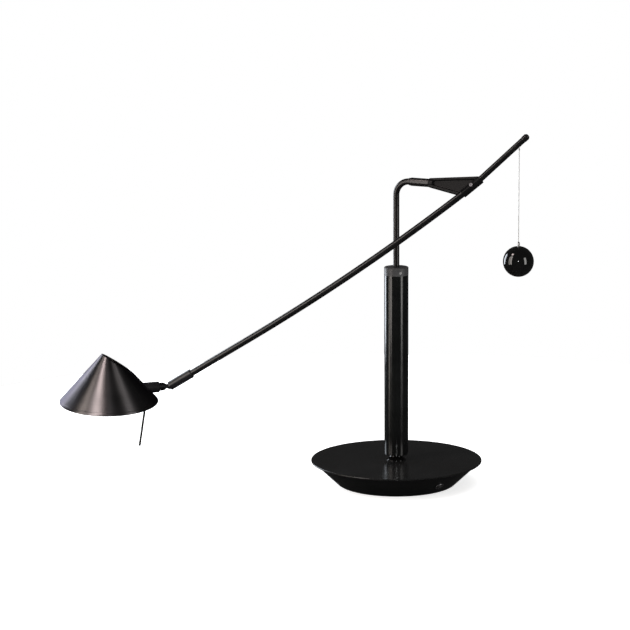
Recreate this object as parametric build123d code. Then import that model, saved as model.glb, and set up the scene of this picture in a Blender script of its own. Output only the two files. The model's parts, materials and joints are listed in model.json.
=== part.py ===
# Counterweight balance desk lamp, in millimetres, +Z up.
# Origin: centre of the round foot, on the table. +X points to the ball side, -Y to the front.
# A round base carries a column. A cranked rod turns in the column and ends in a level pivot.
# A fishtail bracket turns on that pivot and holds a sloping arm. A ball hangs from the arm's
# high end and balances the cone shaded head at its low end.

from build123d import *
from math import acos, atan2, cos, degrees, radians, sin, sqrt, tan
import os

# Base
DISC_R = 125.0           # thin round plate on top of the base
DISC_T = 2.2
DISC_EDGE_R = 0.9
STEM_R = 5.0                     # threaded stem of the column's hub, through the plate
BASE_H = 35.4            # table to top of the plate
BOWL_TOP_R = 120.5       # the bowl flares upwards
BOWL_FOOT_R = 86.7
BOWL_WALL = 2.0
BOWL_LEDGE_R = 67.0               # ledge in the bowl that the bottom cover is screwed to
BOWL_LEDGE_H = 3.0
BOWL_FLANGE_R = 110.0            # inner edge of the flange under the plate
FOOT_PAD_R = 85.0
FOOT_PAD_T = 1.2
COVER_T = 2.0
COVER_R = 79.0
COVER_FIT = 0.2
COVER_SCREW_R = 1.5
COVER_SCREW_PCD = 142.0
COVER_SCREW_COUNT = 4
BALLAST_R = 72.0
BALLAST_T = 9.0
BALLAST_Z = 6.8
BALLAST_SLOT = (58.0, 54.0)      # pocket in the ballast for the transformer
BALLAST_NOTCH = (30.0, 40.0)     # pocket for the terminal block
CORE_SIZE = (54.0, 32.0, 22.0)
COIL_SIZE = (36.0, 48.0, 18.0)
COIL_EDGE_R = 5.0
YOKE_W = 20.0
TRANSFORMER_X = -34.0
TERMINAL_SIZE = (24.0, 12.0, 11.0)
TERMINAL_AT = (0.0, 60.0)
TERMINAL_PITCH = 8.0
TERMINAL_HOLE_R = 2.0
SEAT_GAP = 0.1                   # between pieces that only lie on each other

# Switch in the flared wall, right of the front, and the cord gland at the back
SWITCH_ANGLE = -54.0             # about +Z from +X
SWITCH_Z = 14.8
BEZEL_R = 6.5
BEZEL_T = 1.4
BUTTON_R = 4.5
BUTTON_PROUD = 3.0
BUTTON_TAIL = 5.0
BUTTON_FIT = 0.1
BEZEL_SLEEVE = (0.6, 7.0)        # wall and depth of the bezel's sleeve
SWITCH_CASE = (6.0, 10.0, 17.2)  # radius, height and depth of its foot
GLAND_ANGLE = 90.0
GLAND_Z = 16.6
GLAND_R = 5.5
GLAND_BORE_R = 3.3
GLAND_LIP = (7.5, 2.0)           # radius and thickness
GLAND_NOSE = (4.2, 4.0)          # end radius and length
GLAND_TAIL = 6.0

# Column
COLUMN_R = 17.6
COLUMN_WALL = 1.5
COLUMN_FOOT_Z = 43.5             # the tube stands clear of the base
COLLAR_Z = 309.7
COLUMN_TOP_Z = 321.2
COLLAR_R = 17.7
HUB_FOOT_R = 14.5
HUB_NECK_R = 9.0
HUB_SPIGOT_H = 24.0
HUB_SEAT_T = 1.2
HUB_CUP = (8.0, 6.0)             # bore radius, and thickness of its floor
HUB_STEM_Z = (-19.0, 1.0)        # from the top of the plate
HUB_NUT = (8.5, 6.0)             # across the corners / 2, and thickness
SLIP = 0.02                      # radial gap of pieces pushed into each other
COLLAR_SCREW_ANGLE = -71.0
COLLAR_SCREW_Z = 314.7
COLLAR_SPIGOT_H = 6.0
SET_SCREW_R = 1.7
SET_SCREW_KEY_R = 0.9
BUSH_H = 16.0
LOWER_BUSH_Z = 196.0
THRUST_RING = (9.0, 6.0)         # radius and height

# Crank: a rod that stands in the column and bends over to the level pivot
ROD_R = 4.5
RUN_FIT = 0.05                   # radial clearance of a running fit
ROD_FOOT_Z = 188.0
PIVOT_Z = 447.1
CRANK_BEND_R = 20.9
CRANK_ANGLE = -30.0              # heading of the pivot axis, about +Z from +X
PIVOT_RING_AT = (21.9, 23.9)     # distances along the pivot axis
BARREL_AT = (24.3, 54.0)
BARREL_R = 6.0
ROD_END_AT = 50.0

# Fishtail bracket and arm
FISHTAIL_REACH = 123.3           # column axis to the arm, along the pivot axis
ARM_ANGLE = -8.0                 # heading of the arm's upright plane
FRONT_SLOPE = 38.35              # front tube where it leaves the bracket
REAR_SLOPE = 43.24
ARM_BOW_R = 3215.0               # the front tube is bowed from the bracket on
ARM_BOW_LENGTH = 382.0
ARM_LENGTH = 477.6               # from the clamp's end to the socket, bow included
FRONT_R = 4.75
REAR_R = 4.25
TUBE_WALL = 1.0
REAR_LENGTH = 97.0
TUBE_GAP = 1.2                   # each tube stops this far from the bend
PLUG_LENGTH = 10.0
PLUG_STEM = 3.5
CLAMP_REACH = (18.6, 15.0)       # from the bend along the front tube and along the rear tube
CLAMP_BLEND = 0.35               # the clamp's slope lies between the two tubes' slopes
CLAMP_R = 5.75
WEB_T = 3.0
RIB_T = 8.0
RIB_W = 4.2
RIB_START = (4.4, -4.0)          # from the pivot axis, top and lower rib, at the barrel
TOP_RIB_END = (7.0, 12.0)        # in the bracket's plane, from the bend
LOW_RIB_END = (-13.5, -14.2)
CLAMP_SCREW_R = 1.9
CLAMP_SCREW_HEAD = (2.6, 1.2)    # radius and thickness
CLAMP_SCREW_KEY_R = 1.3

# Hanging ball
WIRE_AT = 89.7                   # along the rear tube from the bracket
WIRE_R = 0.5
SLOT_W = 2.0                     # the slot lets the wire stay plumb while the arm rolls
SLOT_R = 9.0
ROLL_DOWN = 8.0                  # how far the arm rolls each way from where it stands
ROLL_UP = 110.0
SLOT_SPARE = 13.0                # degrees of slot past each end of the roll
BEAD_R = 2.2
EYE_DROP = 8.5
EYE_R = 1.1
BALL_R = 22.0
BALL_DROP = 168.6                # arm axis to ball centre
FERRULE_R = 2.0
FERRULE_H = 6.0
FERRULE_STEM = (1.4, 3.0)        # radius, and depth in the ball

# Head joint
SOCKET_R = 6.75
SOCKET_LENGTH = 39.4
SOCKET_TAPER = (2.2, 1.4)        # length and depth of the cone at its mouth
SOCKET_OVERLAP = 15.0            # front tube inside the socket
BALL_STUD_R = 5.0
SLOT_TOP = 1.5                   # the socket's slot, above the ball centre
BALL_INSET = 1.4                 # ball centre inside the socket's mouth
STUD_NECK_R = 3.2
STUD_NECK_END = 6.8              # from the ball centre, where the taper starts
STUD_TAPER_R = (4.3, 6.0)
STUD_ANGLE = 17.0                # heading of the stud from the shade to the arm
STUD_RISE = 1.0
HEAD_REACH = 91.5                # ball centre to the shade's axis
BOSS_FACE_AT = 16.6              # from the ball centre
BOSS_R = 8.0
BOSS_INNER_AT = 49.5             # from the shade's axis
STUD_SHANK_R = 4.0
STUD_NUT = (6.6, 3.6)            # across the corners / 2, and thickness
STUD_SPARE = 4.5                 # shank past the boss, for the nut

# Shade
SHADE_R = 71.8
SHADE_H = 82.4                   # rim to the cone's point, before the slanted cut
SHADE_WALL = 1.2
SHADE_LEAN = 5.6                 # towards the front
STUB_ABOVE_RIM = 15.3
CUT_HIGH = 10.5                  # point of the cone down to the cut, on its high side
CUT_SLOPE = 35.0
HANDLE_R = 1.65
HANDLE_LEAN = 8.6
HANDLE_AT = 57.5                 # from the shade's axis, at the rod's top
HANDLE_LENGTH = 84.0
REFLECTOR_PROFILE = ((41.5, 8.0), (38.2, 14.5), (32.5, 21.5), (24.5, 27.5), (15.5, 31.6))
REFLECTOR_HOLE_R = 6.5
REFLECTOR_T = 0.8
HOLDER_R = 8.0
HOLDER_H = 11.0
HOLDER_Z = 34.0                  # underside of the holder above the rim
HOLDER_NOSE = (6.4, 4.0)         # radius and length
STRAP_T = 1.2
STRAP_W = 9.0
STRAP_SCREW_R = 1.5
STRAP_SCREW_HEAD = (2.8, 1.8)    # radius and thickness
CAPSULE_R = 4.75
CAPSULE_H = 21.0
PINCH_SIZE = (8.0, 3.2, 6.0)     # flat end of the capsule, with the pins
PIN_R = 0.5
PIN_PITCH = 4.0
PIN_H = 5.0


def turn_z(radius, angle, z=0.0):
    """Point at a radius and an angle about +Z."""
    return Vector(radius * cos(radians(angle)), radius * sin(radians(angle)), z)


def ring(outer, inner, height, z=0.0):
    """Plain ring standing on z."""
    whole = Pos(0, 0, z + height / 2) * Cylinder(outer, height)
    return whole - Pos(0, 0, z + height / 2) * Cylinder(inner, height + 2)


def up_cylinder(radius, height):
    """Cylinder that stands on the origin."""
    return Cylinder(radius, height, align=(Align.CENTER, Align.CENTER, Align.MIN))


def turned(points):
    """Solid of revolution about Z from a closed outline of (radius, z) points."""
    outline = make_face(Polyline(*[(r, 0, z) for r, z in points], close=True))
    return revolve(outline, Axis.Z)


def rod_between(start, end, radius):
    """Round rod from one point to another."""
    start, end = Vector(*start), Vector(*end)
    way = end - start
    plane = Plane(origin=start, z_dir=way.normalized())
    return extrude(plane * Circle(radius), way.length)


# Heights, radii and frames that several pieces share

INSIDE_Z = FOOT_PAD_T + COVER_T + SEAT_GAP       # top of the bottom cover
COLUMN_IN_R = COLUMN_R - COLUMN_WALL
STRAP_Z = HOLDER_Z + HOLDER_H + SEAT_GAP         # above the rim
CAPSULE_TOP_Z = HOLDER_Z - HOLDER_NOSE[1] - 0.2

pivot_dir = turn_z(1.0, CRANK_ANGLE)
bracket_point = pivot_dir * FISHTAIL_REACH + Vector(0, 0, PIVOT_Z)
arm_heading = turn_z(1.0, ARM_ANGLE)
arm_plane = Plane(origin=bracket_point, x_dir=arm_heading, z_dir=arm_heading.cross(Vector(0, 0, 1)))


def in_arm_plane(length, slope, start=Vector(0, 0, 0)):
    """World point at a length along a slope in the arm's upright plane."""
    local = start + Vector(length * cos(radians(slope)), length * sin(radians(slope)), 0)
    return arm_plane.from_local_coords(local)


def world_dir(slope):
    """World direction of a slope in the arm's upright plane, towards the ball."""
    return (in_arm_plane(1.0, slope) - bracket_point).normalized()


clamp_dir = world_dir(FRONT_SLOPE + CLAMP_BLEND * (REAR_SLOPE - FRONT_SLOPE))
bracket_normal = pivot_dir.cross(clamp_dir).normalized()
bracket_plane = Plane(origin=bracket_point, x_dir=pivot_dir, z_dir=bracket_normal)

bow_turn = degrees(ARM_BOW_LENGTH / ARM_BOW_R)
socket_slope = FRONT_SLOPE - bow_turn
front_start = Vector(-cos(radians(FRONT_SLOPE)), -sin(radians(FRONT_SLOPE)), 0) * CLAMP_REACH[0]
bow = JernArc(front_start, front_start, ARM_BOW_R, -bow_turn)
socket_dir = world_dir(socket_slope)
socket_top = arm_plane.from_local_coords(bow @ 1) - socket_dir * (ARM_LENGTH - ARM_BOW_LENGTH)
ball_point = socket_top - socket_dir * (SOCKET_LENGTH - BALL_INSET)

rear_dir = world_dir(REAR_SLOPE)
wire_point = bracket_point + rear_dir * WIRE_AT

stud_dir = Vector(cos(radians(STUD_RISE)) * cos(radians(STUD_ANGLE)),
                  cos(radians(STUD_RISE)) * sin(radians(STUD_ANGLE)), sin(radians(STUD_RISE)))
stud_plane = Plane(origin=ball_point, x_dir=Vector(0, 0, 1).cross(stud_dir), z_dir=-stud_dir)
tilt_dir = socket_dir.cross(stud_dir).normalized()

# Head frame: x runs from the shade's axis to the arm, z is the shade's axis, origin in the rim plane
lean = radians(SHADE_LEAN)
upright = Vector(0, 0, 1) - stud_dir * stud_dir.Z
side = upright.normalized().cross(stud_dir)
shade_axis = (upright.normalized() * cos(lean) - side * sin(lean)).normalized()
stub_centre = ball_point - stud_dir * HEAD_REACH
head_plane = Plane(origin=stub_centre - shade_axis * STUB_ABOVE_RIM, x_dir=stud_dir, z_dir=shade_axis)


# Base

def bowl_radius(z):
    """Outer radius of the flared bowl at a height."""
    rise = (z - FOOT_PAD_T) / (BASE_H - DISC_T - FOOT_PAD_T)
    return BOWL_FOOT_R + (BOWL_TOP_R - BOWL_FOOT_R) * rise


def bowl_frame(angle, z):
    """Plane on the bowl's outside, facing out of the wall."""
    out = turn_z(1.0, angle)
    flare = atan2(BOWL_TOP_R - BOWL_FOOT_R, BASE_H - DISC_T - FOOT_PAD_T)
    normal = out * cos(flare) - Vector(0, 0, 1) * sin(flare)
    across = Vector(0, 0, 1).cross(out)
    return Plane(origin=out * bowl_radius(z) + Vector(0, 0, z), x_dir=across, z_dir=normal)


def base_disc():
    disc = Pos(0, 0, BASE_H - DISC_T / 2) * Cylinder(DISC_R, DISC_T)
    disc = fillet(disc.edges(), DISC_EDGE_R)
    return disc - Pos(0, 0, BASE_H) * Cylinder(STEM_R + 0.2, 4 * DISC_T)


def base_bowl():
    low, high = FOOT_PAD_T, BASE_H - DISC_T
    flare = atan2(BOWL_TOP_R - BOWL_FOOT_R, high - low)
    level_wall = BOWL_WALL / cos(flare)
    flange_z = high - BOWL_WALL
    ledge_z = low + COVER_T + BOWL_LEDGE_H
    shell = turned([(BOWL_FOOT_R, low), (BOWL_TOP_R, high), (BOWL_FLANGE_R, high),
                    (BOWL_FLANGE_R, flange_z), (bowl_radius(flange_z) - level_wall, flange_z),
                    (bowl_radius(ledge_z) - level_wall, ledge_z), (BOWL_LEDGE_R, ledge_z),
                    (BOWL_LEDGE_R, low + COVER_T), (COVER_R + COVER_FIT, low + COVER_T),
                    (COVER_R + COVER_FIT, low)])
    for spot in PolarLocations(COVER_SCREW_PCD / 2, COVER_SCREW_COUNT, 45):
        shell -= spot * Cylinder(COVER_SCREW_R + SLIP, 2 * BASE_H)
    switch_hole = bowl_frame(SWITCH_ANGLE, SWITCH_Z).location * Cylinder(BUTTON_R + BEZEL_SLEEVE[0], 30)
    gland_hole = bowl_frame(GLAND_ANGLE, GLAND_Z).location * Cylinder(GLAND_R, 30)
    return shell - switch_hole - gland_hole


def bottom_cover():
    cover = Pos(0, 0, FOOT_PAD_T + COVER_T / 2) * Cylinder(COVER_R, COVER_T)
    for spot in PolarLocations(COVER_SCREW_PCD / 2, COVER_SCREW_COUNT, 45):
        cover -= spot * Cylinder(COVER_SCREW_R + 0.1, 20)
    return cover


def cover_screws():
    group = []
    for spot in PolarLocations(COVER_SCREW_PCD / 2, COVER_SCREW_COUNT, 45):
        shank = Pos(0, 0, FOOT_PAD_T + SEAT_GAP) * up_cylinder(COVER_SCREW_R, COVER_T + BOWL_LEDGE_H)
        group.append(spot * shank)
    return Compound(children=group)


def foot_pad():
    return Pos(0, 0, FOOT_PAD_T / 2) * Cylinder(FOOT_PAD_R, FOOT_PAD_T)


def ballast_plate():
    plate = up_cylinder(BALLAST_R, BALLAST_T)
    plate -= Pos(TRANSFORMER_X, 0, 0) * Box(*BALLAST_SLOT, 4 * BALLAST_T)
    plate -= Pos(*TERMINAL_AT) * Box(*BALLAST_NOTCH, 4 * BALLAST_T)
    for spot in PolarLocations(COVER_SCREW_PCD / 2, COVER_SCREW_COUNT, 45):
        plate -= spot * Cylinder(2 * COVER_SCREW_R, 4 * BALLAST_T)
    return Pos(0, 0, BALLAST_Z) * plate


def transformer_core():
    window = Box(COIL_SIZE[0], 2 * CORE_SIZE[1], COIL_SIZE[2])
    core = Box(*CORE_SIZE) - window + Box(YOKE_W, CORE_SIZE[1], COIL_SIZE[2])
    return Pos(TRANSFORMER_X, 0, INSIDE_Z + CORE_SIZE[2] / 2) * core


def transformer_coil():
    coil = Box(COIL_SIZE[0] - 2 * SEAT_GAP, COIL_SIZE[1], COIL_SIZE[2] - 2 * SEAT_GAP)
    coil = fillet(coil.edges().filter_by(Axis.Z), COIL_EDGE_R)
    coil -= Box(YOKE_W + 2 * SEAT_GAP, CORE_SIZE[1] + 2 * SEAT_GAP, 2 * COIL_SIZE[2])
    return Pos(TRANSFORMER_X, 0, INSIDE_Z + CORE_SIZE[2] / 2) * coil


def terminal_block():
    block = Box(*TERMINAL_SIZE)
    block = fillet(block.edges().filter_by(Axis.Z), 1.0)
    for spot in GridLocations(TERMINAL_PITCH, 0, 3, 1):
        block -= spot * Pos(0, 0, TERMINAL_SIZE[2] / 2) * Cylinder(TERMINAL_HOLE_R, TERMINAL_SIZE[2])
    return Pos(*TERMINAL_AT, INSIDE_Z + TERMINAL_SIZE[2] / 2) * block


def switch_bezel():
    rim = up_cylinder(BEZEL_R, BEZEL_T)
    rim = chamfer(rim.edges().sort_by(Axis.Z)[-1], BEZEL_T / 2)
    wall, depth = BEZEL_SLEEVE
    sleeve = Pos(0, 0, -depth) * up_cylinder(BUTTON_R + wall, depth)
    bezel = rim + sleeve - Cylinder(BUTTON_R + BUTTON_FIT, 4 * depth)
    return bowl_frame(SWITCH_ANGLE, SWITCH_Z).location * bezel


def switch_button():
    cap = Pos(0, 0, -BUTTON_TAIL) * up_cylinder(BUTTON_R, BUTTON_PROUD + BUTTON_TAIL)
    cap = fillet(cap.edges().sort_by(Axis.Z)[-1], 0.9)
    return bowl_frame(SWITCH_ANGLE, SWITCH_Z).location * cap


def switch_body():
    radius, height, depth = SWITCH_CASE
    case = Pos(0, 0, -depth) * up_cylinder(radius, height)
    return bowl_frame(SWITCH_ANGLE, SWITCH_Z).location * case


def cord_gland():
    tail_r = GLAND_R - SEAT_GAP
    lip_r, lip_t = GLAND_LIP
    nose_r, nose_l = GLAND_NOSE
    lip_z = SEAT_GAP + lip_t
    gland = turned([(GLAND_BORE_R, -GLAND_TAIL), (tail_r, -GLAND_TAIL), (tail_r, SEAT_GAP),
                    (lip_r, SEAT_GAP), (lip_r, lip_z), (GLAND_R, lip_z), (nose_r, lip_z + nose_l),
                    (GLAND_BORE_R, lip_z + nose_l)])
    return bowl_frame(GLAND_ANGLE, GLAND_Z).location * gland


# Column

def column_hub():
    """Foot, waisted neck, thin seat under the tube and a cup shaped spigot inside it."""
    low, seat_z = BASE_H, COLUMN_FOOT_Z
    rim_z, top_z = seat_z + HUB_SEAT_T, seat_z + HUB_SPIGOT_H
    seat_r, spigot_r = COLUMN_R - 0.6, COLUMN_IN_R - SLIP
    cup_r, floor_t = HUB_CUP
    hub = turned([(0, low), (HUB_FOOT_R, low), (HUB_FOOT_R, low + 0.8), (HUB_NECK_R + 1.5, low + 4.2),
                  (HUB_NECK_R, seat_z - 1.5), (HUB_NECK_R, seat_z), (seat_r, seat_z), (seat_r, rim_z),
                  (spigot_r, rim_z), (spigot_r, top_z), (cup_r, top_z), (cup_r, seat_z + floor_t),
                  (0, seat_z + floor_t)])
    stem_low, stem_high = HUB_STEM_Z
    return hub + Pos(0, 0, BASE_H + stem_low) * up_cylinder(STEM_R, stem_high - stem_low)


def hub_nut():
    size, thick = HUB_NUT
    nut = extrude(RegularPolygon(size, 6), thick) - Cylinder(STEM_R + SLIP, 4 * thick)
    return Pos(0, 0, BASE_H - DISC_T - thick) * nut


def column_tube():
    foot_z = COLUMN_FOOT_Z + HUB_SEAT_T
    return ring(COLUMN_R, COLUMN_IN_R, COLLAR_Z - foot_z, foot_z)


def column_collar():
    spigot_z = COLLAR_Z - COLLAR_SPIGOT_H
    cap = turned([(ROD_R + RUN_FIT, spigot_z), (COLUMN_IN_R - SLIP, spigot_z),
                  (COLUMN_IN_R - SLIP, COLLAR_Z), (COLLAR_R, COLLAR_Z),
                  (COLLAR_R, COLUMN_TOP_Z - 0.8), (COLLAR_R - 0.8, COLUMN_TOP_Z),
                  (ROD_R + 3, COLUMN_TOP_Z), (ROD_R + RUN_FIT, COLUMN_TOP_Z - 1.5)])
    return cap - collar_screw_line() * up_cylinder(SET_SCREW_R + 0.05, 2 * COLLAR_R)


def collar_screw_line():
    """Location of the set screw: z runs outwards from the rod's axis."""
    return Pos(0, 0, COLLAR_SCREW_Z) * Rot(0, 0, COLLAR_SCREW_ANGLE) * Rot(0, 90, 0)


def collar_screw():
    screw = Pos(0, 0, ROD_R + 0.4) * up_cylinder(SET_SCREW_R, COLLAR_R - ROD_R)
    screw -= Pos(0, 0, COLLAR_R + 0.4) * extrude(RegularPolygon(SET_SCREW_KEY_R, 6), 2, both=True)
    return collar_screw_line() * screw


def bush(z):
    return ring(COLUMN_IN_R - SLIP, ROD_R + RUN_FIT, BUSH_H, z)


# Crank

def crank_rod():
    end = pivot_dir * ROD_END_AT + Vector(0, 0, PIVOT_Z)
    path = FilletPolyline((0, 0, ROD_FOOT_Z), (0, 0, PIVOT_Z), end, radius=CRANK_BEND_R)
    return sweep(Plane(origin=(0, 0, ROD_FOOT_Z), z_dir=(0, 0, 1)) * Circle(ROD_R), path)


def thrust_ring():
    radius, height = THRUST_RING
    return ring(radius, ROD_R, height, LOWER_BUSH_Z + BUSH_H + 0.3)


def along_pivot(start, end, outer, inner=0.0):
    """Round piece on the pivot axis, from one distance to another."""
    plane = Plane(origin=pivot_dir * start + Vector(0, 0, PIVOT_Z), x_dir=(0, 0, 1), z_dir=pivot_dir)
    piece = extrude(plane * Circle(outer), end - start)
    if inner > 0:
        piece -= extrude(plane * Circle(inner), end - start)
    return piece


def pivot_ring():
    return along_pivot(*PIVOT_RING_AT, BARREL_R - 0.6, ROD_R)


# Arm

def pivot_barrel():
    barrel = along_pivot(*BARREL_AT, BARREL_R)
    barrel = chamfer(barrel.edges().filter_by(GeomType.CIRCLE).sort_by(Axis.X)[0], 0.5)
    return barrel - along_pivot(BARREL_AT[0] - 1, ROD_END_AT + 0.5, ROD_R + RUN_FIT)


def rib_bar(points, width, thick):
    """Straight rib between two points of the bracket's plane, rounded along its length."""
    (x0, y0), (x1, y1) = points
    length = sqrt((x1 - x0) ** 2 + (y1 - y0) ** 2)
    bar = Box(length, width, thick, align=(Align.MIN, Align.CENTER, Align.CENTER))
    bar = fillet(bar.edges().filter_by(Axis.X), width * 0.3)
    return Pos(x0, y0, 0) * Rot(0, 0, degrees(atan2(y1 - y0, x1 - x0))) * bar


def clamp_solid(radius, spare=0.0):
    """The arm clamp's barrel, along a line between those of the two arm tubes."""
    low, high = (reach + spare for reach in CLAMP_REACH)
    return rod_between(bracket_point - clamp_dir * low, bracket_point + clamp_dir * high, radius)


def fishtail_bracket():
    neck = BARREL_AT[1] - FISHTAIL_REACH
    top_rib = ((neck, RIB_START[0]), TOP_RIB_END)
    low_rib = ((neck, RIB_START[1]), LOW_RIB_END)
    web = make_face(Polyline(top_rib[0], top_rib[1], (0, 0), low_rib[1], low_rib[0], close=True))
    web = extrude(web, WEB_T / 2, both=True)
    tail = web + rib_bar(top_rib, RIB_W, RIB_T) + rib_bar(low_rib, RIB_W, RIB_T)
    root = Pos(neck, 0, 0) * Rot(0, 90, 0) * up_cylinder(BARREL_R, 7)
    tail = tail + root - Pos(neck, 0, 0) * Box(20, 60, 60, align=(Align.MAX, Align.CENTER, Align.CENTER))
    tail = bracket_plane.location * tail
    tail = tail - clamp_solid(CLAMP_R - 1.0, 30)
    body = tail + clamp_solid(CLAMP_R)
    low, high = CLAMP_REACH
    body -= rod_between(in_arm_plane(-low - 5, FRONT_SLOPE), in_arm_plane(TUBE_GAP, FRONT_SLOPE), FRONT_R)
    body -= rod_between(in_arm_plane(-TUBE_GAP, REAR_SLOPE), in_arm_plane(high + 5, REAR_SLOPE), REAR_R)
    body -= rod_between(bracket_point, bracket_point + bracket_normal * 20, CLAMP_SCREW_R + 0.1)
    return body


def clamp_screw():
    head_r, head_t = CLAMP_SCREW_HEAD
    screw = Pos(0, 0, FRONT_R + SEAT_GAP) * up_cylinder(CLAMP_SCREW_R, CLAMP_R - FRONT_R + 0.5)
    key = extrude(RegularPolygon(CLAMP_SCREW_KEY_R, 6), 0.8, both=True)
    head = up_cylinder(head_r, head_t) - Pos(0, 0, head_t) * key
    return bracket_plane.location * (screw + Pos(0, 0, CLAMP_R + SEAT_GAP) * head)


def front_arm_tube():
    straight = Line((-TUBE_GAP, -TUBE_GAP * tan(radians(FRONT_SLOPE))), front_start)
    end = bow @ 1
    straight_end = ARM_LENGTH - ARM_BOW_LENGTH + SOCKET_OVERLAP
    inside = Vector(cos(radians(socket_slope)), sin(radians(socket_slope)), 0) * straight_end
    tail = Line(end, end - inside)
    path = Wire([arm_plane.location * straight.edge(), arm_plane.location * bow.edge(),
                 arm_plane.location * tail.edge()])
    section = Plane(origin=path @ 0, z_dir=path % 0) * (Circle(FRONT_R) - Circle(FRONT_R - TUBE_WALL))
    return sweep(section, path)


def rear_arm_tube():
    tube = rod_between(in_arm_plane(TUBE_GAP, REAR_SLOPE), in_arm_plane(REAR_LENGTH, REAR_SLOPE), REAR_R)
    tube -= rod_between(in_arm_plane(0, REAR_SLOPE), in_arm_plane(REAR_LENGTH + 1, REAR_SLOPE),
                        REAR_R - TUBE_WALL)
    return tube - wire_slot()


def wire_slot():
    """Slot round part of the tube, square to the pivot axis, from straight below to the back."""
    plane = Plane(origin=wire_point - pivot_dir * (SLOT_W / 2), x_dir=(0, 0, -1), z_dir=pivot_dir)
    start = -ROLL_DOWN - SLOT_SPARE
    sweep_angle = ROLL_UP - start + SLOT_SPARE
    arc = CenterArc((0, 0), SLOT_R, start, sweep_angle)
    sector = make_face(Polyline(arc @ 1, (0, 0), arc @ 0).edges() + arc.edges())
    return extrude(plane * sector, SLOT_W)


def arm_end_plug():
    stem_r = REAR_R - TUBE_WALL - SLIP
    plug = turned([(0, -PLUG_STEM), (stem_r, -PLUG_STEM), (stem_r, 0), (REAR_R, 0),
                   (REAR_R + 0.4, 1.5), (REAR_R + 0.4, PLUG_LENGTH - 3), (REAR_R - 1.4, PLUG_LENGTH - 0.6),
                   (REAR_R - 3, PLUG_LENGTH), (0, PLUG_LENGTH)])
    end = in_arm_plane(REAR_LENGTH, REAR_SLOPE)
    return Plane(origin=end, z_dir=rear_dir).location * plug


# Hanging ball

def hanger_bead():
    bead = Sphere(BEAD_R) + rod_between((0, 0, 0), (0, 0, -EYE_DROP), WIRE_R)
    return Pos(*wire_point) * (bead + Pos(0, 0, -EYE_DROP) * Sphere(EYE_R))


def weight_wire():
    top = -EYE_DROP - EYE_R - 0.3
    low = -BALL_DROP + BALL_R + FERRULE_H - 1.5
    return Pos(*wire_point) * rod_between((0, 0, top), (0, 0, low), WIRE_R)


def wire_ferrule():
    low = -BALL_DROP + BALL_R - 1.0
    stem_r, depth = FERRULE_STEM
    body = turned([(0, -depth), (stem_r, -depth), (stem_r, 1), (FERRULE_R, 1), (FERRULE_R, FERRULE_H),
                   (WIRE_R + 0.5, FERRULE_H + 1), (0, FERRULE_H + 1)])
    body -= Pos(0, 0, FERRULE_H - 0.5) * up_cylinder(WIRE_R, FERRULE_H)
    return Pos(*wire_point) * Pos(0, 0, low) * body


def counterweight_ball():
    stem_r, depth = FERRULE_STEM
    ball = Sphere(BALL_R) - Pos(0, 0, BALL_R) * Cylinder(stem_r + SLIP, 3 * depth)
    return Pos(*wire_point) * Pos(0, 0, -BALL_DROP) * ball


# Head joint

def socket_sleeve():
    plane = Plane(origin=ball_point, x_dir=tilt_dir, z_dir=socket_dir)
    mouth, top = -BALL_INSET, SOCKET_LENGTH - BALL_INSET
    body = Pos(0, 0, mouth) * up_cylinder(SOCKET_R, SOCKET_LENGTH)
    rims = body.edges().filter_by(GeomType.CIRCLE).sort_by(Axis.Z)
    body = chamfer(rims[0], SOCKET_TAPER[1], SOCKET_TAPER[0])
    body = chamfer(body.edges().filter_by(GeomType.CIRCLE).sort_by(Axis.Z)[-1], 0.7)
    body -= Sphere(BALL_STUD_R + 2 * RUN_FIT)
    body -= up_cylinder(BALL_STUD_R + RUN_FIT, 12)
    tube_end = top - SOCKET_OVERLAP - 0.3
    body -= Pos(0, 0, tube_end) * up_cylinder(FRONT_R + RUN_FIT, 60)
    half = STUD_NECK_R + 0.35
    slot = Pos(0, 0, mouth - 5) * up_cylinder(half, 6)
    slot += Pos(0, SOCKET_R, -SOCKET_R) * Box(2 * half, 2 * SOCKET_R, 2 * (SOCKET_R + SLOT_TOP))
    return plane.location * (body - slot)


def ball_seat():
    plane = Plane(origin=ball_point, x_dir=tilt_dir, z_dir=socket_dir)
    seat = Pos(0, 0, 3.0) * up_cylinder(BALL_STUD_R - 0.05, 8.5)
    return plane.location * (seat - Sphere(BALL_STUD_R + 0.08))


def ball_stud():
    """Ball, tapered neck and long shank; the profile starts at the ball centre."""
    inner = HEAD_REACH - BOSS_INNER_AT
    taper_low, taper_high = STUD_TAPER_R
    neck = turned([(0, 0), (STUD_NECK_R, 0), (STUD_NECK_R, STUD_NECK_END - 0.6), (taper_low, STUD_NECK_END),
                   (taper_high, STUD_NECK_END + 3.6), (taper_high, BOSS_FACE_AT - 0.3),
                   (STUD_SHANK_R, BOSS_FACE_AT - 0.3), (STUD_SHANK_R, inner + STUD_SPARE),
                   (0, inner + STUD_SPARE)])
    return stud_plane.location * (Sphere(BALL_STUD_R) + neck)


def stud_nut():
    inner = HEAD_REACH - BOSS_INNER_AT
    size, thick = STUD_NUT
    nut = extrude(RegularPolygon(size, 6), thick) - Cylinder(STUD_SHANK_R, 4 * thick)
    return stud_plane.location * Pos(0, 0, inner + 0.4) * nut


# Head, in its own frame

def cone_radius(z):
    return SHADE_R * (1 - z / SHADE_H)


def stub_line():
    """Location of the boss axis: x along the stud, at its height above the rim."""
    return Pos(0, 0, STUB_ABOVE_RIM) * Rot(0, 90, 0)


def inner_cone(gap=0.0):
    """Rim radius and height of the shade's inside, less a gap."""
    slant = sqrt(SHADE_R ** 2 + SHADE_H ** 2)
    wall = SHADE_WALL + gap
    return SHADE_R - wall * slant / SHADE_H, SHADE_H - wall * slant / SHADE_R


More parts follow.
